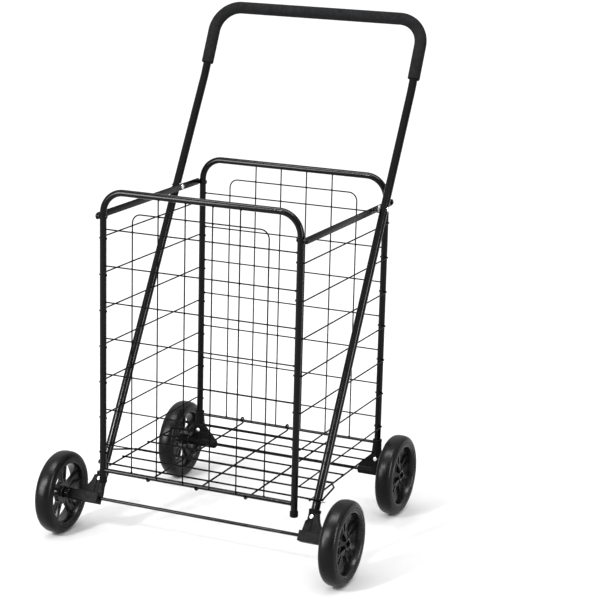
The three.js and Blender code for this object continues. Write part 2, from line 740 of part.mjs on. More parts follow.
// A push-on cap over the axle's end, which keeps the wheel on.
function axleCap() {
  const bore = AXLE_RADIUS + AXLE_FIT;
  const start = HUB_OUTER + GAP;
  return turned([
    [start, bore],
    [start, AXLE_CAP_RADIUS],
    [start + AXLE_CAP_LENGTH - 2, AXLE_CAP_RADIUS],
    [start + AXLE_CAP_LENGTH, AXLE_CAP_RADIUS - 2.5],
    [start + AXLE_CAP_LENGTH, 0],
    [AXLE_END + GAP, 0],
    [AXLE_END + GAP, bore],
    [start, bore],
  ], 8);
}

function addWheel(place, label, x, y, sign) {
  for (const [piece, geometry, material] of [
    ['tyre', tyre(), rubber],
    ['rim', rim(), plastic],
    ['axle_cap', axleCap(), plastic],
  ]) {
    if (sign < 0) geometry.rotateZ(Math.PI);
    add(`${place}_${piece}_${label}`, geometry, material, sign * x, y, WHEEL_RADIUS);
  }
}

function addAxle(place, wheelX, y) {
  const end = wheelX + AXLE_END;
  const axle = rod(vec(-end, 0, 0), vec(end, 0, 0), AXLE_RADIUS, 10);
  add(`${place}_axle_rod`, axle, blackPaint, 0, y, WHEEL_RADIUS);
}

// ---------- assembly ----------

addFrontFrame();
addRearFrame();
addSideBars();
addSideWires();
addFloor();
addHandle();
addHandleFasteners();
addAxle('front', FRONT_WHEEL_X, FRONT_AXLE_Y);
addAxle('rear', REAR_WHEEL_X, REAR_AXLE_Y);
for (const { label, sign } of SIDES) {
  addFrontBracket(label, sign);
  addRearBracket(label, sign);
  addWheel('front', label, FRONT_WHEEL_X, FRONT_AXLE_Y, sign);
  addWheel('rear', label, REAR_WHEEL_X, REAR_AXLE_Y, sign);
}

const frontmost = FRONT_AXLE_Y - WHEEL_RADIUS;
const rearmost = upperY(HANDLE_TOP) + GRIP_RADIUS;
trolley.position.y = -(frontmost + rearmost) / 2;

export default trolley;
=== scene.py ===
"""A folding shopping trolley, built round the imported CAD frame.

Every CAD node is replaced by a finely modelled piece that rides on the same body. Lengths are in
metres, in the frame's own axes: +X to the trolley's right, +Y towards the person who pulls it, +Z up.
"""

import math

import bpy
from mathutils import Matrix, Vector


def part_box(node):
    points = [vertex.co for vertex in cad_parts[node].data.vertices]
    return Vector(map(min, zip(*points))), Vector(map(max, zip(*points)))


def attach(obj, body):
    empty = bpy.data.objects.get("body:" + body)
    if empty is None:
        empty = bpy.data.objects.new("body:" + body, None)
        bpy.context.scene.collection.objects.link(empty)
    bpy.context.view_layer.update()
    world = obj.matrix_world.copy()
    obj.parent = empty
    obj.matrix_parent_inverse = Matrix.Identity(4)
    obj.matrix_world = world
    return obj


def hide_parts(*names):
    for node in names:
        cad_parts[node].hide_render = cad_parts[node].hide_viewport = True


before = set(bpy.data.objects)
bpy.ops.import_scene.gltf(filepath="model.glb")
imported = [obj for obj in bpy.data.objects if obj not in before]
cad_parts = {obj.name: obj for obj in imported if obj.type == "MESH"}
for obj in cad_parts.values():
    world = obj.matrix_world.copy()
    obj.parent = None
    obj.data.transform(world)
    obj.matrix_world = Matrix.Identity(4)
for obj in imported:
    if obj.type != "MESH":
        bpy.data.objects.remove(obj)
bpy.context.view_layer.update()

MM = 0.001
SIDES = (("right", 1), ("left", -1))
X_AXIS, Y_AXIS, Z_AXIS = Vector((1, 0, 0)), Vector((0, 1, 0)), Vector((0, 0, 1))


def middle(node):
    low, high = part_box(node)
    return (low + high) / 2


# ---------- places, read from the frame ----------

LEG_X = middle("front_leg_cap_right").x
FRONT_Y = middle("front_frame_tube").y
REAR_Y = middle("rear_frame_tube").y
BAR_Z = middle("front_bottom_bar").z
LEG_END_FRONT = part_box("front_frame_tube")[0].z
LEG_END_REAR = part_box("rear_frame_tube")[0].z
SIDE_WIRE_Z = [middle(f"side_wire_right_{k}").z for k in range(1, 8)]
SIDE_WIRE_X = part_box("side_wire_right_1")[1].x - 1.4 * MM
BAR_LINE_Z = middle("side_bar_right").z
HANDLE_X = middle("front_bracket_rivet_right").x
PIVOT = middle("handle_pivot_spacer_right")
FRONT_AXLE = middle("front_axle_rod")
REAR_AXLE = middle("rear_axle_rod")

# ---------- sizes ----------

FRAME_R = 6.35 * MM
FRAME_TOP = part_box("front_frame_tube")[1].z - FRAME_R
FRAME_BEND = 42 * MM
HANDLE_R = 8 * MM
GRIP_R = 12 * MM
FRONT_BAR_R = 4.3 * MM
REAR_ROD_R = 3 * MM
PANEL_WIRE = 1.3 * MM
PANEL_LAYER = 2.1 * MM
UPRIGHT_PITCH = 55.4 * MM
ARCH_TOP = 645 * MM
ARCH_BEND = 17 * MM
ROW_ABOVE_SIDE_WIRE = 18.2 * MM
SIDE_WIRE = 1.4 * MM
FLOOR_WIRE = 1.7 * MM
AXLE_R = 3.25 * MM
HANDLE_TILT = math.radians(29.72)
UPPER_TILT = math.radians(25)
HANDLE_KNEE = 845 * MM
HANDLE_TOP = 978 * MM
HANDLE_FOOT = 92 * MM
GRIP_END = 868 * MM
KNEE_BEND = 150 * MM
TOP_BEND = 52 * MM


# ---------- materials ----------

NOISE_SPAN = 0.2
PATCHES = {"scale": 45, "detail": 5}
SCUFFS = {"scale": 130, "detail": 4}
ROUGHNESS_SPAN = 0.15
PORE_DEPTH = 0.25 * MM
FINE = (1, 1, 1)

def noise(tree, position, scale, detail=3.0, stretch=None):
    node = tree.nodes.new("ShaderNodeTexNoise")
    node.inputs["Scale"].default_value = scale
    node.inputs["Detail"].default_value = detail
    vector = position
    if stretch:
        mapping = tree.nodes.new("ShaderNodeMapping")
        mapping.inputs["Scale"].default_value = stretch
        tree.links.new(position, mapping.inputs["Vector"])
        vector = mapping.outputs["Vector"]
    tree.links.new(vector, node.inputs["Vector"])
    return node.outputs["Fac"]


def spread(tree, value, low, high):
    """Maps a noise value from the middle of its range onto low to high."""
    node = tree.nodes.new("ShaderNodeMapRange")
    node.inputs["From Min"].default_value = 0.5 - NOISE_SPAN
    node.inputs["From Max"].default_value = 0.5 + NOISE_SPAN
    node.inputs["To Min"].default_value = low
    node.inputs["To Max"].default_value = high
    tree.links.new(value, node.inputs["Value"])
    return node.outputs["Result"]


def bump(tree, height, distance, below):
    """Adds a bump on top of the normal below, which may be None."""
    node = tree.nodes.new("ShaderNodeBump")
    node.inputs["Distance"].default_value = distance
    tree.links.new(height, node.inputs["Height"])
    if below:
        tree.links.new(below, node.inputs["Normal"])
    return node.outputs["Normal"]


def finish(name, colour, roughness, metallic=0.0, grain=(), cells=0.0, wear=0.25, specular=0.5):
    """A procedural finish. grain holds (scale, height, stretch) bumps; cells is the scale of foam cells;
    wear is how far the colour wanders from its mean."""
    material = bpy.data.materials.new(name)
    material.use_nodes = True
    tree = material.node_tree
    shader = tree.nodes["Principled BSDF"]
    position = tree.nodes.new("ShaderNodeTexCoord").outputs["Object"]
    mix = tree.nodes.new("ShaderNodeMix")
    mix.data_type = "RGBA"
    mix.inputs["A"].default_value = (*[c * (1 - wear) for c in colour], 1)
    mix.inputs["B"].default_value = (*[c * (1 + wear) for c in colour], 1)
    patches = noise(tree, position, **PATCHES)
    tree.links.new(spread(tree, patches, 0, 1), mix.inputs["Factor"])
    tree.links.new(mix.outputs["Result"], shader.inputs["Base Color"])
    smooth, rough = roughness * (1 - ROUGHNESS_SPAN), roughness * (1 + ROUGHNESS_SPAN)
    scuffs = noise(tree, position, **SCUFFS)
    tree.links.new(spread(tree, scuffs, smooth, rough), shader.inputs["Roughness"])
    shader.inputs["Metallic"].default_value = metallic
    shader.inputs["Specular IOR Level"].default_value = specular
    normal = None
    for scale, height, stretch in grain:
        normal = bump(tree, noise(tree, position, scale, stretch=stretch), height, normal)
    if cells:
        pores = tree.nodes.new("ShaderNodeTexVoronoi")
        pores.inputs["Scale"].default_value = cells
        tree.links.new(position, pores.inputs["Vector"])
        normal = bump(tree, pores.outputs["Distance"], PORE_DEPTH, normal)
    if normal:
        tree.links.new(normal, shader.inputs["Normal"])
    return material


gloss_paint = finish(
    "gloss_black_paint",
    (0.0018, 0.0018, 0.002),
    0.14,
    grain=[(170, 0.02 * MM, FINE)],
    specular=0.12,
)
satin_paint = finish(
    "satin_black_paint",
    (0.0028, 0.0028, 0.0031),
    0.3,
    grain=[(260, 0.05 * MM, (1, 0.12, 1)), (900, 0.03 * MM, FINE)],
    specular=0.1,
)
wire_paint = finish(
    "black_wire_paint",
    (0.0015, 0.0015, 0.0017),
    0.3,
    grain=[(420, 0.04 * MM, FINE)],
    specular=0.02,
)
foam = finish(
    "grip_foam",
    (0.007, 0.0072, 0.008),
    0.88,
    grain=[(300, 0.15 * MM, FINE)],
    cells=900,
    specular=0.1,
)
rubber = finish(
    "tyre_rubber",
    (0.0025, 0.0025, 0.0028),
    0.3,
    grain=[(380, 0.05 * MM, FINE), (1400, 0.025 * MM, FINE)],
    specular=0.12,
)
plastic = finish(
    "textured_black_plastic",
    (0.0035, 0.0035, 0.0038),
    0.5,
    grain=[(1100, 0.05 * MM, FINE)],
    specular=0.05,
)
rim_plastic = finish(
    "rim_plastic",
    (0.004, 0.004, 0.0043),
    0.28,
    grain=[(900, 0.03 * MM, FINE)],
    specular=0.22,
)
zinc = finish(
    "zinc_fastener",
    (0.70, 0.71, 0.73),
    0.27,
    metallic=1.0,
    wear=0.12,
    grain=[(700, 0.03 * MM, FINE)],
)
nylon = finish("pale_nylon", (0.72, 0.72, 0.70), 0.45, wear=0.06, grain=[(800, 0.03 * MM, FINE)])


# ---------- mesh helpers ----------


class Shape:
    """Vertices and faces that grow piece by piece into one mesh."""

    def __init__(self):
        self.points = []
        self.faces = []

    def add(self, points, faces):
        start = len(self.points)
        self.points += [tuple(p) for p in points]
        self.faces += [[start + i for i in face] for face in faces]
        return self

    def moved(self, matrix):
        result = Shape()
        result.points = [tuple(matrix @ Vector(p)) for p in self.points]
        result.faces = [list(face) for face in self.faces]
        return result

    def join(self, other):
        return self.add(other.points, other.faces)

    def mesh(self, name):
        mesh = bpy.data.meshes.new(name)
        mesh.from_pydata(self.points, [], self.faces)
        mesh.validate()
        mesh.update()
        return mesh


def piece(name, mesh, material, body, nodes, sharp=35):
    """Makes the object, hides the CAD nodes it stands for and lets it ride on their body."""
    if isinstance(mesh, Shape):
        mesh = mesh.mesh(name)
    mesh.shade_smooth()
    mesh.set_sharp_from_angle(angle=math.radians(sharp))
    mesh.materials.clear()
    mesh.materials.append(material)
    made = bpy.data.objects.new(name, mesh)
    bpy.context.scene.collection.objects.link(made)
    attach(made, body)
    if nodes:
        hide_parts(*nodes)
    return made


def rounded(corners, radii, step=math.radians(6)):
    """Points along a route whose corners are rounded by arcs."""
    corners = [Vector(c) for c in corners]
    points = [corners[0]]
    for i in range(1, len(corners) - 1):
        radius = radii[i - 1] if isinstance(radii, (list, tuple)) else radii
        arriving = (corners[i] - corners[i - 1]).normalized()
        leaving = (corners[i + 1] - corners[i]).normalized()
        turn = arriving.angle(leaving)
        if turn < 1e-3 or radius <= 0:
            points.append(corners[i])
            continue
        axis = arriving.cross(leaving).normalized()
        inward = axis.cross(arriving)
        start = corners[i] - arriving * radius * math.tan(turn / 2)
        hub = start + inward * radius
        steps = max(2, math.ceil(turn / step))
        for k in range(steps + 1):
            points.append(hub - (Matrix.Rotation(turn * k / steps, 3, axis) @ inward) * radius)
    points.append(corners[-1])
    return points


def bar(points, radius, sides=12, edge=0.0):
    """A solid round bar along points. Its ends are rounded over by edge."""
    steps = 4
    points = [Vector(p) for p in points]
    tangents = []
    for i, p in enumerate(points):
        before = points[max(i - 1, 0)]
        after = points[min(i + 1, len(points) - 1)]
        tangents.append((after - before).normalized())
    side = tangents[0].orthogonal().normalized()
    stations = []
    for i, (p, tangent) in enumerate(zip(points, tangents)):
        if i:
            side = tangents[i - 1].rotation_difference(tangent) @ side
            side = (side - tangent * side.dot(tangent)).normalized()
        stations.append((p, side, tangent.cross(side), radius))
    if edge > 0:
        first, last = stations[0], stations[-1]
        opening, closing = [], []
        for k in range(steps):
            angle = math.pi / 2 * (1 - k / steps)
            inset = edge * (1 - math.sin(angle))
            shrunk = radius - edge * (1 - math.cos(angle))
            opening.append((first[0] + tangents[0] * inset, first[1], first[2], shrunk))
            closing.append((last[0] - tangents[-1] * inset, last[1], last[2], shrunk))
        start = (first[0] + tangents[0] * edge, first[1], first[2], radius)
        end = (last[0] - tangents[-1] * edge, last[1], last[2], radius)
        stations = opening + [start] + stations[1:-1] + [end] + closing[::-1]
    shape = Shape()
    rings = []
    for p, u, v, r in stations:
        ring = []
        for k in range(sides):
            angle = 2 * math.pi * k / sides
            ring.append(p + (u * math.cos(angle) + v * math.sin(angle)) * r)
        rings.append(ring)
    faces = []
    for i in range(len(rings) - 1):
        for k in range(sides):
            n = (k + 1) % sides
            a, b = i * sides, (i + 1) * sides
            faces.append([a + k, a + n, b + n, b + k])
    faces.append(list(range(sides))[::-1])
    faces.append([(len(rings) - 1) * sides + k for k in range(sides)])
    return shape.add([p for ring in rings for p in ring], faces)


def turned(profile, centre, axis=X_AXIS, segments=32, closed=False):
    """A turned shape: the profile holds (along, radius) pairs. closed joins its last pair to its
    first."""
    axis = Vector(axis).normalized()
    side = axis.orthogonal().normalized()
    other = axis.cross(side)
    centre = Vector(centre)
    points, rows = [], []
    for along, radius in profile:
        if radius < 1e-7:
            rows.append([len(points)])
            points.append(centre + axis * along)
            continue
        rows.append(list(range(len(points), len(points) + segments)))
        for k in range(segments):
            angle = 2 * math.pi * k / segments
            spoke = side * math.cos(angle) + other * math.sin(angle)
            points.append(centre + axis * along + spoke * radius)
    pairs = list(zip(rows, rows[1:]))
    if closed:
        pairs.append((rows[-1], rows[0]))
    faces = []
    for a, b in pairs:
        for k in range(segments):
            n = (k + 1) % segments
            if len(a) == 1 and len(b) == 1:
                continue
            if len(a) == 1:
                faces.append([a[0], b[n], b[k]])
            elif len(b) == 1:
                faces.append([a[k], a[n], b[0]])
            else:
                faces.append([a[k], a[n], b[n], b[k]])
    return Shape().add(points, faces)


def outline(corners, radii):
    """A profile whose corners are rounded, as (along, radius) pairs."""
    flat = [(a, r, 0) for a, r in corners]
    return [(p.x, p.y) for p in rounded(flat, radii, math.radians(15))]


def dome(radius, height, rim):
    """Half a rivet head, from its rim to its crown: (along, radius) pairs that start at along 0."""
    pairs = [(0, radius), (rim, radius)]
    steps = 6
    for k in range(1, steps + 1):
        angle = math.pi / 2 * k / steps
        pairs.append((rim + (height - rim) * math.sin(angle), radius * math.cos(angle)))
    pairs[-1] = (height, 0)
    return pairs


def nugget(centre, size, sides=8):
    """A weld bead: an ellipsoid with half axes size."""
    rows = 5
    profile = []
    for k in range(rows + 1):
        angle = math.pi * k / rows
        profile.append((-math.cos(angle), math.sin(angle)))
    profile[0], profile[-1] = (-1, 0), (1, 0)
    ball = turned(profile, (0, 0, 0), X_AXIS, sides)
    return ball.moved(Matrix.Translation(centre) @ Matrix.Diagonal((*size, 1)))


def plate(points, thickness, edge, x):
    """A flat plate in the YZ plane with rounded-over edges, from x to x + thickness."""
    count = len(points)

    def ring(at, inset):
        result = []
        for i, (y, z) in enumerate(points):
            before, after = Vector(points[i - 1]), Vector(points[(i + 1) % count])
            along = (after - before).normalized()
            result.append((at, y - along.y * inset, z + along.x * inset))
        return result

    layers = []
    steps = 3
    for k in range(steps + 1):
        angle = math.pi / 2 * k / steps
        layers.append(ring(x + edge * (1 - math.sin(angle)), edge * (1 - math.cos(angle))))
    for k in range(steps, -1, -1):
        angle = math.pi / 2 * k / steps
        layers.append(ring(x + thickness - edge * (1 - math.sin(angle)), edge * (1 - math.cos(angle))))
    layers[0] = ring(x, edge)
    layers[-1] = ring(x + thickness, edge)
    faces = []
    for i in range(len(layers) - 1):
        for k in range(count):
            n = (k + 1) % count
            faces.append([i * count + k, i * count + n, (i + 1) * count + n, (i + 1) * count + k])
    faces.append(list(range(count))[::-1])
    faces.append([(len(layers) - 1) * count + k for k in range(count)])
    return Shape().add([p for layer in layers for p in layer], faces)


def moulded(name, shape, voxel, smoothing):
    """Fuses overlapping solids into one moulded skin with softened edges."""
    rough = bpy.data.objects.new(name, shape.mesh(name))
    bpy.context.scene.collection.objects.link(rough)
    remesh = rough.modifiers.new("fuse", "REMESH")
    remesh.mode = "VOXEL"
    remesh.voxel_size = voxel
    smooth = rough.modifiers.new("soften", "SMOOTH")
    smooth.factor = 0.5
    smooth.iterations = smoothing
    graph = bpy.context.evaluated_depsgraph_get()
    mesh = bpy.data.meshes.new_from_object(rough.evaluated_get(graph))
    bpy.data.objects.remove(rough)
    return mesh


def web(points, thickness):
    """A flat web in the XZ plane, centred on y = 0, from its outline's points."""
    area = sum(a[0] * b[1] - b[0] * a[1] for a, b in zip(points, points[1:] + points[:1]))
    if area < 0:
        points = points[::-1]
    count = len(points)
    front = [(x, -thickness / 2, z) for x, z in points]
    back = [(x, thickness / 2, z) for x, z in points]
    faces = [list(range(count)), [count + k for k in range(count)][::-1]]
    for k in range(count):
        n = (k + 1) % count
        faces.append([k, count + k, count + n, n])
    return Shape().add(front + back, faces)


def curve(start, control, end, steps=8):
    """Points of a quadratic curve, without its first."""
    result = []
    for k in range(1, steps + 1):
        t = k / steps
        point = [(1 - t) ** 2 * a + 2 * t * (1 - t) * b + t * t * c for a, b, c in zip(start, control, end)]
        result.append(tuple(point))
    return result


# ---------- frames ----------

CROSSING_BEAD = (2.1 * MM, 1.9 * MM, 2.1 * MM)
FRAME_EDGE = 0.8 * MM


def bent_frame(y, leg_end):
    corners = [(-LEG_X, y, leg_end), (-LEG_X, y, FRAME_TOP), (LEG_X, y, FRAME_TOP), (LEG_X, y, leg_end)]
    return bar(rounded(corners, FRAME_BEND, math.radians(4)), FRAME_R, 32, FRAME_EDGE)


def wire_panel(y, outward, bar_radius):
    """Seven rows, four uprights and an inner arch, with a weld bead wherever two wires cross."""
    grid = Shape()
    bottom = BAR_Z + bar_radius - 0.6 * MM
    row_y = y + outward * PANEL_LAYER
    upright_y = y + outward * 2 * PANEL_LAYER
    row_end = LEG_X - FRAME_R + 0.8 * MM
    uprights = [step * UPRIGHT_PITCH for step in (-1.5, -0.5, 0.5, 1.5)]
    arch_x = 2.5 * UPRIGHT_PITCH
    for z in [w + ROW_ABOVE_SIDE_WIRE for w in SIDE_WIRE_Z]:
        grid.join(bar([(-row_end, row_y, z), (row_end, row_y, z)], PANEL_WIRE))
        for x in uprights:
            bead = (x, (row_y + upright_y) / 2, z)
            grid.join(nugget(bead, CROSSING_BEAD))
        for sign in (-1, 1):
            bead = (sign * arch_x, (row_y + y) / 2, z)
            grid.join(nugget(bead, CROSSING_BEAD))
            grid.join(nugget((sign * (row_end - 0.9 * MM), row_y, z), (1.9 * MM, 2.3 * MM, 2.3 * MM)))
    top = FRAME_TOP - 4.2 * MM
    for x in uprights:
        grid.join(bar([(x, upright_y, BAR_Z - 1.5 * MM), (x, upright_y, top)], PANEL_WIRE, 12, 0.5 * MM))
        grid.join(nugget((x, upright_y - outward * MM, top - MM), (2.2 * MM, 1.8 * MM, 2.4 * MM)))
        grid.join(nugget((x, upright_y - outward * MM, BAR_Z), (2.2 * MM, 1.6 * MM, 2.6 * MM)))
    arch = [(-arch_x, y, bottom), (-arch_x, y, ARCH_TOP), (arch_x, y, ARCH_TOP), (arch_x, y, bottom)]
    grid.join(bar(rounded(arch, ARCH_BEND, math.radians(10)), PANEL_WIRE))
    for sign in (-1, 1):
        grid.join(nugget((sign * arch_x, y, bottom + 0.8 * MM), (2.4 * MM, 2.2 * MM, 1.6 * MM)))
    for x in uprights:
        grid.join(nugget((x, (y + upright_y) / 2, ARCH_TOP), (2.0 * MM, 2.3 * MM, 2.0 * MM)))
    return grid


def make_frames():
    front = bent_frame(FRONT_Y, LEG_END_FRONT)
    piece("front_frame", front, gloss_paint, "front_frame", ["front_frame_tube"])
    rear = bent_frame(REAR_Y, LEG_END_REAR)
    piece("rear_frame", rear, gloss_paint, "rear_frame", ["rear_frame_tube"])
    panel = wire_panel(FRONT_Y, -1, FRONT_BAR_R)
    piece("front_panel", panel, wire_paint, "front_frame", ["front_panel_grid"])
    panel = wire_panel(REAR_Y, 1, REAR_ROD_R)
    piece("rear_panel", panel, wire_paint, "rear_frame", ["rear_panel_grid"])
    end = LEG_X - FRAME_R + MM
    lower = bar([(-end, FRONT_Y, BAR_Z), (end, FRONT_Y, BAR_Z)], FRONT_BAR_R, 24)
    for sign in (-1, 1):
        lower.join(nugget((sign * (end - 1.2 * MM), FRONT_Y, BAR_Z), (1.6 * MM, 5.1 * MM, 5.1 * MM), 16))
    piece("front_lower_bar", lower, gloss_paint, "front_frame", ["front_bottom_bar"])
    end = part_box("rear_hinge_rod")[1].x + 0.8 * MM
    rod = bar([(-end, REAR_Y, BAR_Z), (end, REAR_Y, BAR_Z)], REAR_ROD_R, 20)
    piece("rear_lower_rod", rod, gloss_paint, "rear_frame", ["rear_hinge_rod"])
    for label, sign in SIDES:
        low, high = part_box(f"front_leg_cap_{label}")
        radius = (high.x - low.x) / 2
        height = high.z - low.z
        profile = outline(
            [
                (0, 0),
                (0, radius),
                (height, radius),
                (height, FRAME_R + 0.05 * MM),
                (2 * MM, FRAME_R),
                (2 * MM, 0),
            ],
            [2.2 * MM, 0.5 * MM, 0.2 * MM, 0],
        )
        cap = turned(profile, (sign * LEG_X, FRONT_Y, low.z), Z_AXIS, 32)
        nodes = [f"front_leg_cap_{label}"]
        piece(f"leg_cap_{label}", cap, plastic, "front_frame", nodes)


# ---------- side bars and side wires ----------

ARC_STEPS = 14


def make_side_bars():
    for label, sign in SIDES:
        low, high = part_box(f"side_bar_{label}")
        half = (high.z - low.z) / 2
        arc = [math.pi * k / ARC_STEPS for k in range(ARC_STEPS + 1)]
        # anticlockwise when seen from +X: up round the rear end, back round the front end
        rim = [(REAR_Y + half * math.sin(a), BAR_LINE_Z - half * math.cos(a)) for a in arc]
        rim += [(FRONT_Y - half * math.sin(a), BAR_LINE_Z + half * math.cos(a)) for a in arc]
        flat = plate(rim, high.x - low.x, 0.6 * MM, low.x)
        nodes = [f"side_bar_{label}"]
        piece(f"side_rail_{label}", flat, satin_paint, "side_bars", nodes)
        for end, body in (("front", "front_frame"), ("rear", "rear_frame")):
            make_rail_rivet(label, sign, end, body, high.x if sign > 0 else -low.x)


def make_rail_rivet(label, sign, end, body, rail_outer):
    """A domed rivet with a washer, through the rail, a spacer and the frame leg."""
    node = f"side_bar_{end}_rivet_{label}"
    at = middle(node)
    seat = rail_outer + 0.3 * MM
    inner = LEG_X - FRAME_R - 1.4 * MM
    shoulder = LEG_X + FRAME_R
    shank = 2.8 * MM
    profile = [
        (inner, 0),
        (inner, 3.4 * MM),
        (inner + 0.5 * MM, 4.1 * MM),
        (inner + 1.3 * MM, 4.2 * MM),
        (inner + 1.3 * MM, shank),
        (shoulder, shank),
        (shoulder, 4.1 * MM),
        (shoulder + 0.3 * MM, 4.5 * MM),
        (shoulder + 3.2 * MM, 4.5 * MM),
        (shoulder + 3.5 * MM, 4.1 * MM),
        (shoulder + 3.5 * MM, shank),
        (seat - 0.2 * MM, shank),
        (seat - 0.2 * MM, 5 * MM),
        (seat + 0.4 * MM, 5 * MM),
    ]
    profile += [(seat + 0.4 * MM + a, r) for a, r in dome(4.2 * MM, 2 * MM, 0.3 * MM)]
    shape = turned(profile, (0, at.y, at.z), X_AXIS * sign, 28)
    piece(f"rail_{end}_rivet_{label}", shape, satin_paint, body, [node])


def make_side_wires():
    """Each wire runs outside the legs; its ends turn in, pass through the leg and are peened over."""
    inner = LEG_X - FRAME_R - 0.9 * MM
    for label, sign in SIDES:
        for k, z in enumerate(SIDE_WIRE_Z, 1):
            corners = [
                (sign * inner, FRONT_Y, z),
                (sign * SIDE_WIRE_X, FRONT_Y, z),
                (sign * SIDE_WIRE_X, REAR_Y, z),
                (sign * inner, REAR_Y, z),
            ]
            wire = bar(rounded(corners, 1.8 * MM, math.radians(15)), SIDE_WIRE, 14)
            for y in (FRONT_Y, REAR_Y):
                wire.join(nugget((sign * inner, y, z), (0.9 * MM, 2.2 * MM, 2.2 * MM), 12))
            nodes = [f"side_wire_{label}_{k}"]
            piece(f"side_rod_{label}_{k}", wire, wire_paint, f"side_wires_{k}", nodes)


# ---------- basket floor ----------

HOOK_R = FRONT_BAR_R + 0.35 * MM + FLOOR_WIRE
RUNNER_Z = BAR_Z - HOOK_R
CROSS_Z = RUNNER_Z + 2.8 * MM
FIRST_CROSS = 47 * MM
CROSS_PITCH = 51.4 * MM
CROSS_WIRES = 7
EDGE_X = 211 * MM
RUNNER_X = 102 * MM
EAR_X = 236 * MM
EAR_FRONT = Vector((0, 42 * MM, 138.6 * MM))
EAR_REAR = Vector((0, 100 * MM, 147.2 * MM))


def runner(x):
    """Under both bars, up in front of the front bar, and round the rear rod in a long loop."""
    front, rear, r = FRONT_Y, REAR_Y, HOOK_R
    corners = [
        (x, front - r, BAR_Z + 2 * MM),
        (x, front - r, RUNNER_Z),
        (x, rear + r, RUNNER_Z),
        (x, rear + r, BAR_Z + r),
        (x, rear - r, BAR_Z + r),
        (x, rear - r, BAR_Z + 1.5 * MM),
    ]
    return bar(rounded(corners, r - 0.05 * MM, math.radians(10)), FLOOR_WIRE, 14, 0.5 * MM)


def ear(sign, third_cross):
    """The wire that goes round the handle tube: from the third cross wire out, forward and back in."""
    lap = FRONT_Y + FIRST_CROSS - 0.6 * MM
    front_y = FRONT_Y + EAR_FRONT.y
    corners = [
        (sign * (LEG_X - 26 * MM), lap, CROSS_Z + 0.4 * MM),
        (sign * (LEG_X - 2 * MM), lap, CROSS_Z + 0.4 * MM),
        (sign * (EDGE_X + FLOOR_WIRE), front_y, EAR_FRONT.z),
        (sign * EAR_X, front_y, EAR_FRONT.z),
        (sign * EAR_X, FRONT_Y + EAR_REAR.y, EAR_REAR.z),
        (sign * (EDGE_X + MM), third_cross - 3.2 * MM, CROSS_Z + 0.6 * MM),
        (sign * (LEG_X - 14 * MM), third_cross - 3.2 * MM, CROSS_Z),
    ]
    radii = [8 * MM, 8 * MM, 8 * MM, 6 * MM, 6 * MM]
    return bar(rounded(corners, radii, math.radians(8)), FLOOR_WIRE, 14, 0.5 * MM)


def make_floor():
    grid = Shape()
    cross = [FRONT_Y + FIRST_CROSS + k * CROSS_PITCH for k in range(CROSS_WIRES)]
    reach = EDGE_X + FLOOR_WIRE + 0.6 * MM
    for x in (-RUNNER_X, 0, RUNNER_X):
        grid.join(runner(x))
    for _, sign in SIDES:
        x = sign * EDGE_X
        ends = [(x, cross[0] - 2.3 * MM, RUNNER_Z), (x, cross[-1] + 2.3 * MM, RUNNER_Z)]
        grid.join(bar(ends, FLOOR_WIRE, 14, 0.5 * MM))
        grid.join(ear(sign, cross[2]))
    for y in cross:
        grid.join(bar([(-reach, y, CROSS_Z), (reach, y, CROSS_Z)], FLOOR_WIRE, 14, 0.5 * MM))
        for x in (-EDGE_X, -RUNNER_X, 0, RUNNER_X, EDGE_X):
            grid.join(nugget((x, y, (CROSS_Z + RUNNER_Z) / 2), (2.6 * MM, 2.6 * MM, 2.3 * MM)))
    piece("basket_floor", grid, wire_paint, "floor", ["floor_grid"])


# ---------- handle ----------


def handle_y(z):
    """Where the long straight part of the handle is at height z."""
    return PIVOT.y + (z - PIVOT.z) * math.tan(HANDLE_TILT)


def upper_y(z):
    """Where the part above the handle's knee is at height z."""
    return handle_y(HANDLE_KNEE) + (z - HANDLE_KNEE) * math.tan(UPPER_TILT)


def make_handle():
    x = HANDLE_X
    corners = [
        (-x, handle_y(HANDLE_FOOT), HANDLE_FOOT),
        (-x, handle_y(HANDLE_KNEE), HANDLE_KNEE),
        (-x, upper_y(HANDLE_TOP), HANDLE_TOP),
        (x, upper_y(HANDLE_TOP), HANDLE_TOP),
        (x, handle_y(HANDLE_KNEE), HANDLE_KNEE),
        (x, handle_y(HANDLE_FOOT), HANDLE_FOOT),
    ]
    bends = [KNEE_BEND, TOP_BEND, TOP_BEND, KNEE_BEND]
    tube = bar(rounded(corners, bends, math.radians(3)), HANDLE_R, 36)
    piece("handle", tube, gloss_paint, "handle", ["handle_tube"])
    corners = [
        (-x, upper_y(GRIP_END), GRIP_END),
        (-x, upper_y(HANDLE_TOP), HANDLE_TOP),
        (x, upper_y(HANDLE_TOP), HANDLE_TOP),
        (x, upper_y(GRIP_END), GRIP_END),
    ]
    sleeve = bar(rounded(corners, TOP_BEND, math.radians(3)), GRIP_R, 40, 2.2 * MM)
    grip = piece("foam_sleeve", sleeve, foam, "handle", ["handle_grip"], sharp=60)


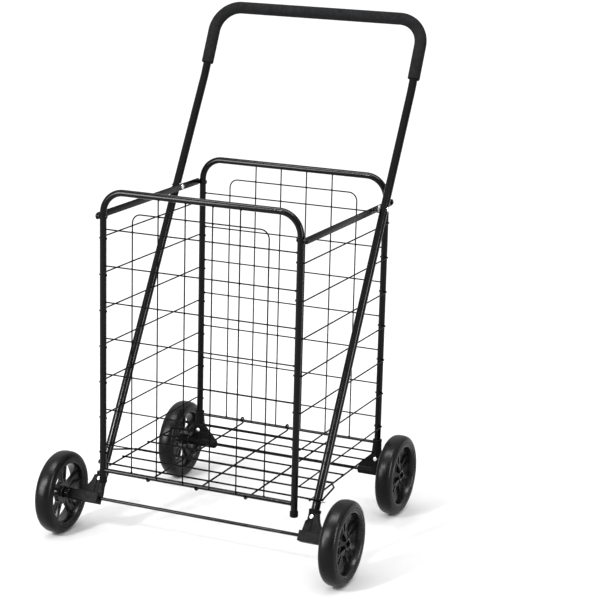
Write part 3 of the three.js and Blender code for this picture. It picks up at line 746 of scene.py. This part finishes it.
def make_handle_fasteners():
    for label, sign in SIDES:
        low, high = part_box(f"handle_pivot_spacer_{label}")
        start, end = sorted((abs(low.x), abs(high.x)))
        radius = (high.z - low.z) / 2
        ring = outline(
            [(start, 2.8 * MM), (start, radius), (end, radius), (end, 2.8 * MM)],
            [0.5 * MM, 0.5 * MM],
        )
        washer = turned(ring, (0, PIVOT.y, PIVOT.z), X_AXIS * sign, 32)
        nodes = [f"handle_pivot_spacer_{label}"]
        piece(f"pivot_washer_{label}", washer, nylon, "handle", nodes)
        low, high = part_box(f"handle_pivot_rivet_{label}")
        inner, outer = sorted((abs(low.x), abs(high.x)))
        seat = HANDLE_X + HANDLE_R - 0.3 * MM
        profile = [
            (inner, 0),
            (inner, 3.4 * MM),
            (inner + 0.6 * MM, 4.6 * MM),
            (inner + 1.7 * MM, 4.9 * MM),
            (inner + 1.7 * MM, 2.8 * MM),
            (seat, 2.8 * MM),
        ]
        profile += [(seat + a, r) for a, r in dome(5 * MM, outer - seat, 0.4 * MM)]
        rivet = turned(profile, (0, PIVOT.y, PIVOT.z), X_AXIS * sign, 28)
        nodes = [f"handle_pivot_rivet_{label}"]
        piece(f"pivot_rivet_{label}", rivet, zinc, "handle", nodes)
        make_stop_pin(label, sign)


def make_stop_pin(label, sign):
    """The pin that the floor's ear rests on: a shank through the tube and a long rounded head."""
    node = f"floor_stop_pin_{label}"
    low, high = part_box(node)
    inner, outer = sorted((abs(low.x), abs(high.x)))
    radius = (high.z - low.z) / 2
    at = middle(node)
    seat = HANDLE_X + HANDLE_R - 0.2 * MM
    profile = [(inner, 0), (inner, 2.4 * MM), (inner + 1.2 * MM, radius), (inner + 1.2 * MM, 2.2 * MM)]
    profile += [(seat, 2.2 * MM), (seat, radius), (outer - 1.4 * MM, radius)]
    profile += [(outer - 0.4 * MM, radius - 0.5 * MM), (outer, radius - 1.4 * MM), (outer, 0)]
    pin = turned(profile, (0, at.y, at.z), X_AXIS * sign, 24)
    piece(f"stop_pin_{label}", pin, zinc, "handle", [node])


# ---------- axle brackets ----------

MOULD_VOXEL = 0.8 * MM
MOULD_SMOOTHING = 4


def cylinder(start, end, radius, sides=32):
    return bar([start, end], radius, sides, 0.6 * MM)


def front_bracket_mesh():
    """The right-hand bracket in the handle's own frame, with z up the tube from the axle's height."""
    x, low, high = HANDLE_X, *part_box("front_bracket_right")
    start, end, top, base = low.x, high.x, 46 * MM, 10.9 * MM
    axle = Matrix.Rotation(HANDLE_TILT, 3, "X") @ Vector((0, FRONT_AXLE.y - handle_y(FRONT_AXLE.z), 0))
    shape = cylinder((x, 0, -4 * MM), (x, 0, top), 10.9 * MM)
    foot = [(start, axle.z - base), (start, axle.z + base - 2 * MM), (end, axle.z + base - 2 * MM)]
    foot.append((end, axle.z - base))
    shape.join(web(foot, 2 * base).moved(Matrix.Translation((0, axle.y, 0))))
    shape.join(cylinder((x, 0, top - 5 * MM), (x, 0, top), 11.7 * MM))
    outer = [(x, -6 * MM), (end - MM, -6 * MM), (end - MM, 2 * MM)]
    outer += curve((end - MM, 2 * MM), (x + 17 * MM, 6 * MM), (x + 12 * MM, top - 8 * MM), 10)
    outer += [(x, top - 8 * MM)]
    inner = [(x, -6 * MM), (start, -6 * MM), (start, 4 * MM), (x - 11 * MM, 22 * MM), (x, 30 * MM)]
    for plate_points in (outer, inner):
        shape.join(web(plate_points, 11 * MM).moved(Matrix.Translation((0, -4.5 * MM, 0))))
    return moulded("front_bracket", shape, MOULD_VOXEL, MOULD_SMOOTHING)


def rear_bracket_mesh():
    """The right-hand bracket about the leg's centre line, with z from the floor."""
    leg, axle = LEG_X, REAR_AXLE.z
    low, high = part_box("rear_bracket_right")
    start, end, top, base = low.x, high.x, high.z, 7.5 * MM
    shape = cylinder((leg, 0, axle), (leg, 0, top), 8.8 * MM)
    shape.join(cylinder((start, 0, axle), (end, 0, axle), base))
    inboard, outboard, foot_top = start + MM, end - MM, axle + 7 * MM
    foot = [(inboard, axle - base), (inboard, foot_top), (outboard, foot_top), (outboard, axle - base)]
    shape.join(web(foot, 13 * MM))
    shoulder, upper = leg - 8.4 * MM, (leg + 8 * MM, top - 10 * MM)
    points = [(inboard, axle), (inboard, foot_top), (shoulder - 2 * MM, axle + 38 * MM)]
    points += [(shoulder, top - 10 * MM), upper]
    points += curve(upper, (leg + 9 * MM, axle + 16 * MM), (outboard, axle + 9 * MM), 8)
    points += [(outboard, axle)]
    shape.join(web(points, 9 * MM))
    shape.join(cylinder((leg, 0, top - 4 * MM), (leg, 0, top), 9.4 * MM))
    return moulded("rear_bracket", shape, MOULD_VOXEL, MOULD_SMOOTHING)


def mirrored(mesh):
    """A copy of the mesh reflected across x = 0, with its faces still facing out."""
    copy = mesh.copy()
    copy.transform(Matrix.Diagonal((-1, 1, 1, 1)))
    copy.flip_normals()
    return copy


def bracket_rivet(node, name, body, axis, reach):
    """A rivet with the same domed head on both sides, along axis through the node's middle."""
    at = middle(node)
    head = dome(4.2 * MM, 1.6 * MM, 0.2 * MM)
    profile = [(-reach - a, r) for a, r in reversed(head)]
    profile += [(reach + a, r) for a, r in head]
    shape = turned(profile, at, axis, 28)
    piece(name, shape, zinc, body, [node])


def make_brackets():
    foot = Matrix.Translation((0, handle_y(FRONT_AXLE.z), FRONT_AXLE.z))
    tilt = foot @ Matrix.Rotation(-HANDLE_TILT, 4, "X")
    front = front_bracket_mesh()
    front.transform(tilt)
    rear = rear_bracket_mesh()
    rear.transform(Matrix.Translation((0, REAR_Y, 0)))
    for label, sign in SIDES:
        skin = front.copy() if sign > 0 else mirrored(front)
        nodes = [f"front_bracket_{label}"]
        piece(f"front_axle_bracket_{label}", skin, plastic, "handle", nodes, sharp=50)
        skin = rear.copy() if sign > 0 else mirrored(rear)
        nodes = [f"rear_bracket_{label}"]
        piece(f"rear_axle_bracket_{label}", skin, plastic, "rear_frame", nodes, sharp=50)
        across = Matrix.Rotation(-HANDLE_TILT, 3, "X") @ Y_AXIS
        node, name = f"front_bracket_rivet_{label}", f"front_socket_rivet_{label}"
        bracket_rivet(node, name, "handle", across, 11.2 * MM)
        node, name = f"rear_bracket_rivet_{label}", f"rear_socket_rivet_{label}"
        bracket_rivet(node, name, "rear_frame", Y_AXIS, 8.9 * MM)


def make_axles():
    for end, body in (("front", "handle"), ("rear", "rear_frame")):
        node = f"{end}_axle_rod"
        at, reach = middle(node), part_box(node)[1].x
        rod = bar([(-reach, at.y, at.z), (reach, at.y, at.z)], AXLE_R, 24, 0.6 * MM)
        piece(f"{end}_axle", rod, gloss_paint, body, [node])


# ---------- wheels ----------

TYRE_HALF = 17.2 * MM
TYRE_R = 80 * MM
RIM_R = 60.4 * MM
SPOKE_PAIRS = 5


def tyre_profile():
    """Half of the tyre from its crown to its bore, mirrored: a rounded crown, a fine groove in the side
    wall and a raised lip round the rim."""
    half = [
        (0, TYRE_R),
        (5 * MM, 79.8 * MM),
        (9 * MM, 79.1 * MM),
        (12.4 * MM, 77.6 * MM),
        (15 * MM, 75 * MM),
        (16.6 * MM, 71.6 * MM),
        (TYRE_HALF, 68 * MM),
        (16.3 * MM, 67.2 * MM),
        (16.3 * MM, 66.4 * MM),
        (TYRE_HALF, 65.6 * MM),
        (17.1 * MM, 64.2 * MM),
        (17.1 * MM, 62.6 * MM),
        (16 * MM, 61.8 * MM),
        (14.8 * MM, 61.6 * MM),
        (14.8 * MM, RIM_R),
    ]
    return half + [(-a, r) for a, r in half[:0:-1]]


def splayed_bar(start, end, widths, faces_out, depth):
    """A spoke about +Z: from (offset, radius) start to end, its width and outboard face changing evenly;
    depth is how far it reaches inboard of the wheel's middle plane."""
    points = []
    for (offset, radius), width, face in zip((start, end), widths, faces_out):
        for x, y in ((-depth, -1), (face, -1), (face, 1), (-depth, 1)):
            points.append((x, offset + y * width / 2, radius))
    faces = [[3, 2, 1, 0], [4, 5, 6, 7], [0, 1, 5, 4], [1, 2, 6, 5], [2, 3, 7, 6], [3, 0, 4, 7]]
    return Shape().add(points, faces)


def rim_centre_shape():
    """Hub, dished disc with five raised arms, and five splayed pairs of spokes, about the origin with
    +X outboard."""
    shape = cylinder((-20 * MM, 0, 0), (6 * MM, 0, 0), 10.8 * MM)
    collar = [(4 * MM, 7.6 * MM), (4 * MM, 10.9 * MM), (12.2 * MM, 10.9 * MM), (12.2 * MM, 7.6 * MM)]
    shape.join(turned(collar, (0, 0, 0), X_AXIS, 48, closed=True))
    shape.join(cylinder((-4 * MM, 0, 0), (1.6 * MM, 0, 0), 24 * MM, 64))
    kerb = [(0, 21.6 * MM), (0, 24 * MM), (4.6 * MM, 24 * MM), (4.6 * MM, 21.6 * MM)]
    shape.join(turned(kerb, (0, 0, 0), X_AXIS, 64, closed=True))
    for pair in range(SPOKE_PAIRS):
        turn = Matrix.Rotation(2 * math.pi * pair / SPOKE_PAIRS, 4, "X")
        arm = splayed_bar((0, 9 * MM), (0, 23.4 * MM), (6.5 * MM, 13 * MM), (10.6 * MM, 5.4 * MM), 2 * MM)
        shape.join(arm.moved(turn))
        for side in (-1, 1):
            near, far = (side * 4.6 * MM, 20 * MM), (side * 9.4 * MM, RIM_R - 2.6 * MM)
            spoke = splayed_bar(near, far, (4.8 * MM, 5.6 * MM), (5.2 * MM, 2.4 * MM), 5 * MM)
            shape.join(spoke.moved(turn))
    return shape


def barrel_shape():
    """The band that the tyre sits on, with a rounded flange at each side and a step at its middle."""
    inside = RIM_R - 3.4 * MM
    half = [
        (16.4 * MM, RIM_R - 1.2 * MM),
        (16.8 * MM, RIM_R - 0.2 * MM),
        (16.4 * MM, RIM_R + 1.1 * MM),
        (15 * MM, RIM_R + 1.1 * MM),
        (14.6 * MM, RIM_R - 0.4 * MM),
    ]
    step = [(14 * MM, inside + 0.6 * MM), (4 * MM, inside - MM)]
    outer = half + [(-a, r) for a, r in reversed(half)]
    inner = [(-a, r) for a, r in step] + [(a, r) for a, r in reversed(step)]
    return turned(outer + inner, (0, 0, 0), X_AXIS, 128, closed=True)


def cap_profile():
    """The push-on cap that keeps the wheel on: a low dome with a shallow dimple, down inside the hub."""
    start, radius = 5.8 * MM, 6.2 * MM
    corners = [
        (start, AXLE_R + 0.1 * MM),
        (start, radius),
        (start + 3.4 * MM, radius),
        (start + 5 * MM, radius - 2.2 * MM),
        (start + 4.4 * MM, 2.2 * MM),
        (start + 4.2 * MM, 0),
    ]
    return outline(corners, [0.4 * MM, 1.2 * MM, 0.8 * MM, 0.4 * MM])


def make_wheels():
    spokes = moulded("wheel_centre", rim_centre_shape(), MOULD_VOXEL, MOULD_SMOOTHING)
    barrel = barrel_shape()
    for end in ("front", "rear"):
        for label, sign in SIDES:
            body = f"{end}_wheel_{label}"
            at = middle(f"{end}_tyre_{label}")
            turn = Matrix.Identity(4) if sign > 0 else Matrix.Rotation(math.pi, 4, "Z")
            place = Matrix.Translation(at) @ turn
            tyre = turned(tyre_profile(), (0, 0, 0), X_AXIS, 128, closed=True).moved(place)
            piece(f"{end}_tyre_ring_{label}", tyre, rubber, body, [f"{end}_tyre_{label}"])
            centre = spokes.copy()
            centre.transform(place)
            nodes = [f"{end}_rim_{label}"]
            name = f"{end}_wheel_centre_{label}"
            piece(name, centre, rim_plastic, body, nodes, sharp=50)
            band = barrel.moved(place)
            piece(f"{end}_wheel_band_{label}", band, rim_plastic, body, nodes)
            cap = turned(cap_profile(), (0, 0, 0), X_AXIS, 36).moved(place)
            nodes = [f"{end}_axle_cap_{label}"]
            piece(f"{end}_hub_cap_{label}", cap, plastic, body, nodes)


# ---------- camera, floor and light ----------


def make_camera():
    azimuth, elevation, roll = (math.radians(a) for a in (23.81, 14.07, 1.46))
    distance = 3.6626
    target = Vector((0.124, -0.0529, 0.4773))
    back = Vector((
        math.sin(azimuth) * math.cos(elevation),
        -math.cos(azimuth) * math.cos(elevation),
        math.sin(elevation),
    ))
    right = Vector((math.cos(azimuth), math.sin(azimuth), 0))
    up = back.cross(right)
    x_axis = right * math.cos(roll) + up * math.sin(roll)
    y_axis = up * math.cos(roll) - right * math.sin(roll)
    data = bpy.data.cameras.new("camera")
    data.lens = 116.9
    data.sensor_width = 36
    data.clip_end = 200
    camera = bpy.data.objects.new("camera", data)
    axes = Matrix((x_axis, y_axis, back)).transposed().to_4x4()
    camera.matrix_world = Matrix.Translation(target + back * distance) @ axes
    bpy.context.scene.collection.objects.link(camera)
    bpy.context.scene.camera = camera
    bpy.context.scene.view_settings.view_transform = "Standard"


def make_floor_plane():
    half = 60
    mesh = bpy.data.meshes.new("studio_floor")
    corners = [(-half, -half, 0), (half, -half, 0), (half, half, 0), (-half, half, 0)]
    mesh.from_pydata(corners, [], [(0, 1, 2, 3)])
    paper = bpy.data.materials.new("studio_paper")
    paper.use_nodes = True
    shader = paper.node_tree.nodes["Principled BSDF"]
    shader.inputs["Base Color"].default_value = (0.86, 0.86, 0.86, 1)
    shader.inputs["Roughness"].default_value = 0.85
    shader.inputs["Specular IOR Level"].default_value = 0.1
    mesh.materials.append(paper)
    plane = bpy.data.objects.new("studio_floor", mesh)
    bpy.context.scene.collection.objects.link(plane)


def area_light(name, place, aim, size, power, lights_surfaces=True):
    """A soft box. With lights_surfaces off it shows only as a reflection."""
    data = bpy.data.lights.new(name, "AREA")
    data.shape = "RECTANGLE"
    data.size, data.size_y = size
    data.energy = power
    light = bpy.data.objects.new(name, data)
    light.location = place
    light.rotation_mode = "QUATERNION"
    light.rotation_quaternion = (Vector(aim) - Vector(place)).to_track_quat("-Z", "Y")
    light.visible_camera = False
    light.visible_diffuse = lights_surfaces
    bpy.context.scene.collection.objects.link(light)


def make_world():
    """A studio dome: bright overhead, so that the floor is white, and dimmer towards the horizon."""
    world = bpy.data.worlds.new("studio")
    world.use_nodes = True
    tree = world.node_tree
    height = tree.nodes.new("ShaderNodeSeparateXYZ")
    tree.links.new(tree.nodes.new("ShaderNodeTexCoord").outputs["Generated"], height.inputs[0])
    ramp = tree.nodes.new("ShaderNodeMapRange")
    ramp.interpolation_type = "SMOOTHSTEP"
    ramp.inputs["From Min"].default_value = 0.2
    ramp.inputs["From Max"].default_value = 0.75
    ramp.inputs["To Min"].default_value = 0.62
    ramp.inputs["To Max"].default_value = 1.5
    tree.links.new(height.outputs["Z"], ramp.inputs["Value"])
    sky = tree.nodes["Background"]
    sky.inputs["Color"].default_value = (1, 1, 1, 1)
    tree.links.new(ramp.outputs["Result"], sky.inputs["Strength"])
    bpy.context.scene.world = world


def make_light():
    area_light("key", (-0.9, -2.7, 2.1), (0, 0, 0.45), (0.3, 0.3), 60)
    area_light("front_box", (-1.5, -2.4, 1.2), (0, 0, 0.5), (0.9, 1.6), 130, lights_surfaces=False)
    area_light("right_box", (2.7, -0.7, 1.0), (0, 0, 0.5), (0.45, 1.6), 75, lights_surfaces=False)
    area_light("top_box", (0, -0.5, 2.9), (0, 0, 0.6), (2.4, 0.7), 130, lights_surfaces=False)


make_camera()
make_floor_plane()
make_world()
make_light()
make_frames()
make_side_bars()
make_side_wires()
make_floor()
make_handle()
make_handle_fasteners()
make_brackets()
make_axles()
make_wheels()
